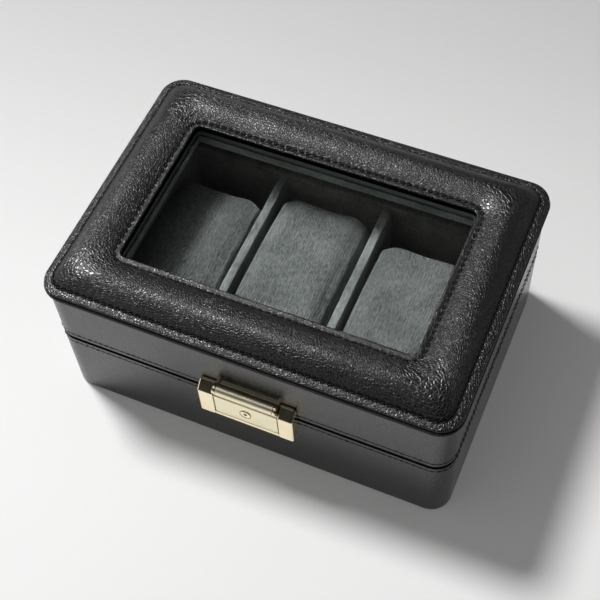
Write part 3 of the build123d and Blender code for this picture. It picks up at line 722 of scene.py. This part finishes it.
@dataclass
class PaddedTop:
    """The lid's leather ring: a rim, a flat flange, the stuffed dome and the window's edge."""

    overhang: float = 1.7
    corner: float = 10.0
    stitch_margin: float = 4.6
    flange_width: float = 3.2
    window_margin: float = 29.1
    window_corner: float = 3.0
    skirt: float = 2.1
    rim_top: float = 84.7
    rim_bottom: float = 80.3
    board_top: float = 82.2
    crest: float = 91.4
    flange: float = 88.2
    crest_corner: float = 14.0
    inner_corner: float = 7.0
    fullness: float = 2.2
    inner_fullness: float = 1.9
    lumps: float = 21.0
    unevenness: float = 0.55
    polished: float = 0.7
    polished_rim: float = 2.0
    nap_height: float = 2.7
    columns: int = 1100

    @cached_property
    def edge(self) -> Outline:
        """The leather face of the walls below, from which insets are counted."""
        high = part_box("lid_pad")[1] / MM
        return Outline(high.x - self.overhang, high.y - self.overhang, self.corner)

    @property
    def outer_stitch(self) -> float:
        """The inset of the outer stitches."""
        return self.stitch_margin - self.overhang

    @property
    def inner_stitch(self) -> float:
        """The inset of the inner stitches."""
        return self.window_edge - self.flange_width

    @property
    def window_edge(self) -> float:
        """The inset of the window's edge."""
        return self.window_margin - self.overhang

    @property
    def middle(self) -> float:
        """The inset of the dome's crest."""
        return (self.outer_stitch + self.inner_stitch) / 2

    def ring(self, inset: float) -> Outline:
        """The outline at an inset, its corners widest along the dome's crest."""
        corners = {
            -self.overhang: self.corner + self.overhang,
            self.outer_stitch: self.corner - self.outer_stitch,
            self.middle: self.crest_corner,
            self.inner_stitch: self.inner_corner,
            self.window_edge: self.window_corner,
        }
        corner = float(np.interp(inset, list(corners), list(corners.values())))
        return self.edge.inset(inset, corner)

    def flank(self, foot: float, level: float, fullness: float) -> list[Row]:
        """Rows of the dome from one of its feet up to the crest."""
        along, rise = self.middle - foot, self.crest - level
        return [
            (foot + along * share, level + rise * (1 - (1 - share) ** fullness), 0.0)
            for share in (*FLANK, 1.0)
        ]

    def profile(self) -> list[Row]:
        """The ring's section: under the rim, over the dome and down at the window.

        Returns:
            Rows of an inset, a level and how much painted shade the row takes.
        """
        outer, inner, lip = self.outer_stitch, self.inner_stitch, -self.overhang
        under = self.skirt - self.overhang
        rows = [(under, self.board_top, 1.0), (under, self.rim_bottom, 1.0)]
        rows += rows_from(lip, self.rim_bottom, RIM_FOOT)
        rows += rows_from(lip, self.rim_top, RIM_HEAD)
        rows += rows_from(outer, self.rim_top, OUTER_SEWING)
        rows += self.flank(outer, self.rim_top, self.fullness)
        rows += self.flank(inner, self.flange, self.inner_fullness)[-2::-1]
        rows += rows_from(inner, self.flange, INNER_SEWING)
        rows += rows_from(self.window_edge, self.flange, WINDOW_EDGE)
        return rows + rows_from(self.window_edge, self.board_top, REVEAL)

    def build(self, stitches: list["StitchLine"]) -> Mesh:
        """Extrudes the ring row by row, closes it and lays it, puckered by the stitches."""
        rows = self.profile()
        circle = {"vertices": self.columns, "radius": 1.0}
        piece = add(bpy.ops.mesh.primitive_circle_add, "padded_top", **circle)
        with editing(piece):
            bpy.ops.mesh.select_all(action="SELECT")
            for _ in rows[1:]:
                bpy.ops.mesh.extrude_region_move(TRANSFORM_OT_translate={"value": (0, 0, 1)})
            ends = (0, len(rows) - 1)
            pick(piece, "EDGE", lambda edge: all(round(v.co.z) in ends for v in edge.verts))
            bpy.ops.mesh.bridge_edge_loops()
        self.lay(piece, rows, stitches)
        with editing(piece):
            bpy.ops.mesh.select_all(action="SELECT")
            bpy.ops.mesh.normals_make_consistent(inside=False)
        smooth(piece, SHARP_LEATHER)
        return piece

    def lay(self, piece: Mesh, rows: list[Row], stitches: list["StitchLine"]) -> None:
        """Moves every point of the ring to its row and column, with the puckers of the sewing.

        Args:
            piece: the extruded ring, its rows one unit apart.
            rows: the inset, the level and the painted shade of each row.
            stitches: the lines sewn through it.
        """
        points = points_of(piece)
        row = np.rint(points[:, 2]).astype(int)
        turn = np.arctan2(points[:, 1], points[:, 0]) / (2 * math.pi)
        column = np.rint(turn * self.columns).astype(int) % self.columns
        stretch, share = self.ring(self.outer_stitch).places(self.columns)
        laid, grain, painted_shade = np.empty_like(points), np.empty_like(points), np.empty(len(points))
        around = np.arange(self.columns) / self.columns * 2 * math.pi
        reach = self.edge.lengths().sum() / (2 * math.pi)
        circle = (reach * np.cos(around), reach * np.sin(around))
        along = 0.0
        for index, (inset, level, shadow) in enumerate(rows):
            if index:
                along += math.dist(rows[index - 1][:2], (inset, level))
            plan = self.ring(inset).at(stretch, share)
            ring = np.column_stack([plan, np.full(self.columns, level)])
            ring[:, 2] += self.slack(ring, inset)
            # Painted shade: the row's own share of black.
            shade = np.full(self.columns, shadow)
            for line, sewn in zip(stitches, (self.outer_stitch, self.inner_stitch)):
                clear = line.clear(ring)
                off = inset - sewn
                ring[:, 2] += clear * line.lift * math.exp(-((off / PUCKER_WIDTH) ** 2))
                # Painted shade in the dimple round each stitch.
                shade = np.maximum(shade, (1 - clear) * math.exp(-((off / DIMPLE_SHADE_WIDTH) ** 4)))
            mine = row == index
            laid[mine] = ring[column[mine]]
            painted_shade[mine] = shade[column[mine]]
            loop = np.column_stack([*circle, np.full(self.columns, along)])
            grain[mine] = loop[column[mine]]
        set_points(piece, laid * MM)
        inner, rim = self.window_edge - self.polished, self.rim_top - self.polished_rim
        lined = self.board_top + self.nap_height
        polish = [inset > inner or level < rim for inset, level, _ in rows]
        nap = [inset >= self.window_edge and level < lined for inset, level, _ in rows]
        keep(piece, "grain", grain * MM)
        keep(piece, "polish", np.array(polish, dtype=float)[row])
        keep(piece, "nap", np.array(nap, dtype=float)[row])
        # Painted shade of each point, read by the padded leather's material.
        keep(piece, "painted_shade", painted_shade)

    def slack(self, ring: Array, inset: float) -> Array:
        """How far the stuffed leather stands off its even shape on one row of the dome."""
        half = (self.inner_stitch - self.outer_stitch) / 2
        dome = max(0.0, 1 - ((inset - self.middle) / half) ** 2)
        uneven = [noise.noise(Vector((x, y, inset * 0.5)) / self.lumps) for x, y, _ in ring]
        return np.array(uneven) * self.unevenness * dome


@dataclass
class StitchLine:
    """A closed line of sewn stitches on an outline."""

    name: str
    body: str
    outline: Outline
    level: float
    pitch: float = 3.4
    length: float = 2.5
    thickness: float = 0.8
    slot: str = "padded_leather"
    lift: float = 0.25
    lean: tuple[float, float] = (0.09, 0.05)
    stray: float = 0.05
    path_points: int = 480
    sewn: Array | None = None

    def stitch(self) -> Mesh:
        """One stitch along X: a short thread whose two ends dip into the leather."""
        half, radius = self.length / 2, self.thickness / 2
        ball = {"segments": 6, "ring_count": 6, "radius": radius, "rotation": (0, math.pi / 2, 0)}
        piece = add(bpy.ops.mesh.primitive_uv_sphere_add, self.name, **ball)
        points = points_of(piece)
        ends = np.sign(np.round(points[:, 0], 4))
        points[:, 0] += ends * (half - radius)
        points[:, 2] -= 0.45 * radius * (np.abs(points[:, 0]) / half) ** 3
        set_points(piece, points * MM)
        return piece

    def build(self) -> Mesh:
        """Sews the stitches round the outline, each a hair out of line, as thread lies."""
        path = hoop(self.outline, self.level, self.path_points)
        hold(path)
        bpy.ops.object.convert(target="CURVE")
        path.data.twist_mode = "Z_UP"
        perimeter = self.outline.lengths().sum()
        count = round(perimeter / self.pitch)
        piece = self.stitch()
        each = len(piece.data.vertices)
        step = {"use_constant_offset": True, "use_relative_offset": False}
        step["constant_offset_displace"] = (perimeter / count * MM, 0, 0)
        modify(piece, "ARRAY", count=count, **step)
        points = points_of(piece).reshape(count, each, 3)
        chance = np.random.default_rng(len(self.name))
        middles = points.mean(axis=1, keepdims=True)
        lean = chance.normal(*self.lean, (count, 1))
        shift = chance.normal(0, self.stray * MM, (count, 3))
        local = points - middles
        local[:, :, 1] += local[:, :, 0] * lean
        set_points(piece, (local + middles + shift[:, None, :]).reshape(-1, 3))
        modify(piece, "CURVE", object=path, deform_axis="POS_X")
        bpy.data.objects.remove(path)
        self.sewn = points_of(piece).reshape(count, each, 3).mean(axis=1)[:, :2] / MM
        smooth(piece)
        dress(piece, BLACK_THREAD)
        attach(piece, self.body)
        return piece

    def clear(self, ring: Array) -> Array:
        """How clear points in millimetres lie of the stitches: 0 along one, 1 between two."""
        apart = np.linalg.norm(ring[:, None, :2] - self.sewn[None, :, :], axis=2).min(axis=1)
        share = np.clip((apart - self.length * HELD) / (self.pitch * FREED), 0, 1)
        return share * share * (3 - 2 * share)


@dataclass
class Pillow:
    """A watch pillow: velvet sewn round a block of soft foam."""

    side: str
    slack: float = 0.5
    voxel: float = 1.7
    scale: float = 10.0
    shrink: float = 0.99
    frames: int = 20
    pressure: float = 4.0
    stiffness: float = 12.0
    bending: float = 0.4
    seam_margin: float = 3.4
    seam_width: float = 0.9
    seam_depth: float = 0.55
    lumps: float = 14.0
    unevenness: float = 0.5
    room: tuple[float, float, float] = (0.5, 0.8, 0.6)

    def build(self) -> Mesh:
        """Swells the pillow's block and lays it back on the tray."""
        node = f"pillow_{self.side}"
        piece = copy_of(node, f"velvet_pillow_{self.side}")
        low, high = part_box(node)
        hold(piece)
        piece.data.remesh_voxel_size = self.voxel * MM
        piece.data.remesh_voxel_adaptivity = 0.0
        bpy.ops.object.voxel_remesh()
        self.swell(piece, np.array((low + high) / 2))
        set_points(piece, self.sewn(points_of(piece), low, high))
        modify(piece, "SUBSURF", levels=1, render_levels=1)
        smooth(piece)
        dress(piece, PILLOW_VELVET)
        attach(piece, node)
        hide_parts(node)
        return piece

    def swell(self, piece: Mesh, middle: Array) -> None:
        """Lets the cover swell by simulation, at ten times its size, and caps how far it goes.

        Args:
            piece: the remeshed block.
            middle: the middle of its place, in metres.
        """
        start = (points_of(piece) - middle) * self.scale * self.shrink
        set_points(piece, start)
        hold(piece)
        bpy.ops.object.modifier_add(type="CLOTH")
        cloth = piece.modifiers[-1]
        cloth.settings.use_pressure = True
        cloth.settings.uniform_pressure_force = self.pressure
        cloth.settings.quality = 4
        cloth.settings.tension_stiffness = self.stiffness
        cloth.settings.compression_stiffness = self.stiffness
        cloth.settings.bending_stiffness = self.bending
        cloth.settings.effector_weights.gravity = 0.0
        cloth.point_cache.frame_start = 1
        cloth.point_cache.frame_end = self.frames
        for step in range(1, self.frames + 1):
            bpy.context.scene.frame_set(step)
        bpy.ops.object.modifier_apply(modifier=cloth.name)
        bpy.context.scene.frame_set(1)
        moved = points_of(piece) - start
        far = np.linalg.norm(moved, axis=1, keepdims=True)
        cap = self.slack * MM * self.scale
        moved *= np.tanh(far / cap) * cap / np.maximum(far, TINY)
        set_points(piece, (start + moved) / self.scale + middle)

    def sewn(self, points: Array, low: Vector, high: Vector) -> Array:
        """The points with the seams drawn in at both ends, kept in their place and flat below."""
        off = points - np.array((low + high) / 2)
        low, high = np.array(low), np.array(high)
        seam = (high[0] - low[0]) / 2 - self.seam_margin * MM
        near = np.exp(-(((np.abs(off[:, 0]) - seam) / (self.seam_width * MM)) ** 2))
        radial = off * np.array([0, 1, 1])
        radial /= np.maximum(np.linalg.norm(radial, axis=1, keepdims=True), TINY)
        points = points - radial * (near * self.seam_depth * MM)[:, None]
        uneven = np.array([noise.noise(Vector(p) / (self.lumps * MM)) for p in points])
        points = points + radial * (uneven * self.unevenness * MM)[:, None]
        room = np.array(self.room) * MM
        return np.clip(points, low - room * [1, 1, 0], high + room)


@dataclass
class VelvetInterior:
    """The soft pieces in the tray: its floor pad, the dividers and the pillows."""

    fold: float = 0.7
    pad_fold: float = 0.9
    pad_rim: float = 2.0
    pad_lumps: float = 20.0
    pad_sag: float = 0.2

    def build(self) -> list[Mesh]:
        """Makes the dividers, the floor pad and the pillows."""
        pieces = [self.divider(side) for side in ("left", "right")]
        pieces.append(self.floor_pad())
        return pieces + [Pillow(side).build() for side in ("left", "centre", "right")]

    def divider(self, side: str) -> Mesh:
        """A divider whose velvet is folded flat over its top, with softly turned edges."""
        piece = slab(f"velvet_divider_{side}", *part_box(f"divider_{side}"), self.fold)
        smooth(piece, SHARP_SHADING)
        dress(piece, DIVIDER_VELVET)
        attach(piece, "base")
        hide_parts(f"divider_{side}")
        return piece

    def floor_pad(self) -> Mesh:
        """The thin pad on the tray's floor, with its edges turned down and its top uneven."""
        low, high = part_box("tray_floor_pad")
        piece = slab("velvet_floor_pad", low, high, self.pad_fold)
        with editing(piece):
            pick(piece, "FACE", lambda face: face.normal.z > 0.99)
            bpy.ops.mesh.inset(thickness=self.pad_rim * MM, depth=0)
            bpy.ops.mesh.quads_convert_to_tris()
            bpy.ops.mesh.subdivide(number_cuts=5)
        points = points_of(piece)
        top = points[:, 2] > high.z - 0.01 * MM
        rise = np.array([noise.noise(Vector(p) / (self.pad_lumps * MM)) for p in points])
        points[top, 2] += np.minimum(rise[top] * self.pad_sag * MM, 0.0)
        set_points(piece, points)
        smooth(piece, SHARP_SHADING)
        dress(piece, TRAY_SUEDE)
        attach(piece, "base")
        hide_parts("tray_floor_pad")
        return piece


@dataclass
class Hardware:
    """A cast or stamped metal piece whose edges are eased, in place of its plain solid."""

    node: str
    body: str
    finish: Metal
    slot: str
    easing: float = 0.18

    def build(self) -> Mesh:
        """Eases the edges of the piece and dresses it."""
        piece = copy_of(self.node, f"{self.node}_eased")
        limit = {"limit_method": "ANGLE", "angle_limit": math.radians(HARD_EDGE)}
        modify(piece, "BEVEL", width=self.easing * MM, segments=2, **limit)
        smooth(piece, SHARP_SHADING)
        modify(piece, "WEIGHTED_NORMAL", keep_sharp=True, weight=80)
        dress(piece, self.finish)
        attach(piece, self.body)
        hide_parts(self.node)
        return piece


@dataclass
class KeyholeRing:
    """A dark ring of painted shade round the key cylinder's head, where its groove lies in shadow.
    """

    radius: float = 2.75
    width: float = 0.16

    def build(self) -> Mesh:
        """Lays a thin ring on the face of the cylinder's head."""
        low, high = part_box("lock_cylinder")
        middle = (low + high) / 2
        piece = add(
            bpy.ops.mesh.primitive_torus_add,
            "keyhole_ring",
            major_segments=48,
            minor_segments=6,
            major_radius=self.radius * MM,
            minor_radius=self.width * MM,
            location=(middle.x, low.y, middle.z),
            rotation=(math.pi / 2, 0, 0),
        )
        smooth(piece)
        # Painted shade of the groove, in dark gold.
        dress(piece, GROOVE_SHADE_GOLD)
        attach(piece, "lock_cylinder")
        return piece


class Case:
    """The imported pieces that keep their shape: boards, leather, lining, glass, screws, pins."""

    def build(self) -> None:
        """Dresses the pieces."""
        boards = [f"{body}_board_{side}" for body in ("base", "lid") for side in SIDES]
        hinges = ["hinge_screws_base", "hinge_screws_lid", "hinge_left_pin", "hinge_right_pin"]
        pieces: dict[Finish, list[str]] = {
            FIBREBOARD: [*boards, "base_floor_board"],
            DYED_BOARD: ["lid_top_board"],
            BLACK_FELT: ["base_felt"],
            SMOOTH_LEATHER: ["base_leather_wrap", "lid_leather_wrap"],
            TRAY_SUEDE: [f"tray_wall_{side}" for side in SIDES],
            FRAME_VELVET: [f"glass_frame_{side}" for side in SIDES],
            LID_LINING: ["lid_side_lining"],
            WINDOW_GLASS: ["window_glass"],
            HINGE_GOLD: hinges,
            SCREW_STEEL: ["lock_case_screws", "latch_mount_screws", "latch_pin", "lock_cam"],
        }
        for finish, nodes in pieces.items():
            for node in nodes:
                dress(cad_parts[node], finish)


@dataclass
class Studio:
    """The pale floor, the soft lamp, the dim room round them and the camera."""

    camera_place: Vector = Vector((0.146133, -0.290898, 0.540133))
    azimuth: float = 27.025
    elevation: float = 57.352
    roll: float = -4.542
    lens: float = 73.43
    sensor: float = 36.0
    lamp_place: Vector = Vector((-0.78, 0.25, 1.42))
    lamp_aim: Vector = Vector((-0.1, -0.1, 0.0))
    lamp_size: float = 0.36
    lamp_power: float = 25.6
    room: float = 0.016

    def build(self) -> None:
        """Sets up the floor, the lamp, the world and the camera."""
        self.floor()
        self.lamp()
        self.world()
        self.camera()

    def floor(self) -> None:
        """A wide pale floor with painted shade that darkens it towards the back and the left, and
        a painted glow that lifts its shadows.
        """
        floor = add(bpy.ops.mesh.primitive_plane_add, "floor", size=8.0, location=(0, 0, 0))
        nodes = Nodes(bpy.data.materials.new("floor_paper"))
        place = nodes.place()
        speck = nodes.clouds(place, 3.0, 4.0)
        # Painted shade: the floor's colour darkens towards the back and the left.
        near = 1 - (nodes.part(place, "Y") - nodes.part(place, "X") * 0.3).rise(-0.12, 0.36)
        tone = near * 0.95 + speck * 0.05
        sockets = {
            "Base Color": nodes.blend(tone, (0.48, 0.48, 0.48), (0.945, 0.945, 0.94)),
            "Roughness": 0.9 + (speck - 0.5) * 0.1,
            "Specular IOR Level": 0.1,
        }
        paper = nodes.node("BsdfPrincipled", {}, sockets)
        # Painted light: a glow that camera, glossy and transmission rays see, lifting the shadow
        # on the floor.
        path = nodes.node("LightPath", {}, {}).outputs
        rays = ("Camera", "Glossy", "Transmission")
        seen = sum(Value(nodes, path[f"Is {ray} Ray"]) for ray in rays)
        glow = nodes.node("Emission", {}, {"Color": (1.0, 1.0, 0.99, 1.0), "Strength": 1.0})
        floor.data.materials.append(nodes.between(seen * 0.1, paper, glow))

    def lamp(self) -> None:
        """The round soft lamp, high on the left."""
        data = bpy.data.lights.new("lamp", "AREA")
        data.shape, data.size, data.energy = "DISK", self.lamp_size, self.lamp_power
        lamp = bpy.data.objects.new("lamp", data)
        lamp.location = self.lamp_place
        aim = (self.lamp_aim - self.lamp_place).to_track_quat("-Z", "Y")
        lamp.rotation_euler = aim.to_euler()
        bpy.context.scene.collection.objects.link(lamp)

    def world(self) -> None:
        """A dim room: paler low on the left and in front, with glows behind and overhead."""
        world = bpy.data.worlds.new("studio")
        nodes = Nodes(world)
        toward = nodes.node("TexCoord", {}, {}).outputs["Generated"]
        x, y, z = (nodes.part(toward, axis) for axis in "XYZ")
        front = (y * -0.9 - x * 0.45).rise(-0.2, 0.8) * (1 - z.rise(0.0, 0.2))
        left = (x * -1.0 - y * 0.2).rise(0.1, 0.9) * (1 - z.rise(0.1, 0.5))
        behind = y.rise(0.75, 0.95) * (1 - z.rise(0.1, 0.3))
        above = (x * 0.6 + y * 0.5 + z * 0.63).rise(0.78, 0.98)
        overhead = (z * 0.95 - x * 0.25 - y * 0.2).rise(0.86, 0.98)
        strength = self.room + front * 0.24 + left * 0.6 + behind * 0.2
        strength = strength + above * 0.15 + overhead * 0.5
        back = nodes.node("Background", {}, {"Color": (1.0, 1.0, 1.0, 1.0), "Strength": strength})
        nodes.node("OutputWorld", {}, {"Surface": back.outputs[0]})
        bpy.context.scene.world = world

    def camera(self) -> None:
        """The camera, at the photograph's viewing angle."""
        angles = (self.azimuth, self.elevation, self.roll)
        az, el, roll = (math.radians(angle) for angle in angles)
        back = Vector((math.sin(az) * math.cos(el), -math.cos(az) * math.cos(el), math.sin(el)))
        right = Vector((0, 0, 1)).cross(back).normalized()
        up = back.cross(right)
        turned = math.cos(roll) * right + math.sin(roll) * up
        raised = -math.sin(roll) * right + math.cos(roll) * up
        data = bpy.data.cameras.new("camera")
        data.lens, data.sensor_width = self.lens, self.sensor
        camera = bpy.data.objects.new("camera", data)
        facing = Matrix((turned, raised, back)).transposed().to_4x4()
        camera.matrix_world = Matrix.Translation(self.camera_place) @ facing
        bpy.context.scene.collection.objects.link(camera)
        bpy.context.scene.camera = camera
        bpy.context.scene.view_settings.view_transform = "Standard"


def note(piece: Mesh) -> None:
    """Logs a finished piece."""
    log.info("%s: %d faces", piece.name, len(piece.data.polygons))


def main() -> None:
    """Builds and dresses the box, piece by piece."""
    logging.basicConfig(level=logging.INFO, format="%(message)s")
    Studio().build()
    Case().build()
    log.info("case dressed")
    top = PaddedTop()
    sewing = [
        StitchLine("outer_stitches", "lid", top.ring(top.outer_stitch), top.rim_top + 0.1),
        StitchLine("inner_stitches", "lid", top.ring(top.inner_stitch), top.flange),
    ]
    wall = top.edge.inset(-0.02, top.corner)
    size = {"pitch": 2.9, "length": 2.1, "thickness": 0.4, "slot": "smooth_leather"}
    seams = [
        StitchLine("lid_seam_stitches", "lid", wall, LID_CREASE, **size),
        StitchLine("base_seam_stitches", "base", wall, BASE_CREASE, **size),
    ]
    for line in sewing + seams:
        note(line.build())
    pad = top.build(sewing)
    dress(pad, PADDED_LEATHER)
    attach(pad, "lid")
    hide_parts("lid_pad")
    note(pad)
    for piece in VelvetInterior().build():
        note(piece)
    metal = [
        Hardware("lock_case", "base", POLISHED_GOLD, "lock_gold", 0.34),
        Hardware("latch_mount", "lid", POLISHED_GOLD, "lock_gold"),
        Hardware("latch_flap", "latch_flap", BRUSHED_GOLD, "lock_gold", 0.12),
        Hardware("lock_cylinder", "lock_cylinder", POLISHED_GOLD, "lock_gold", 0.08),
        KeyholeRing(),
    ]
    for side in ("left", "right"):
        for body in ("base", "lid"):
            leaf = f"hinge_{side}_{body}_leaf"
            metal.append(Hardware(leaf, body, HINGE_GOLD, "hinge_gold", 0.1))
    for part in metal:
        note(part.build())


if __name__ == "__main__":
    main()
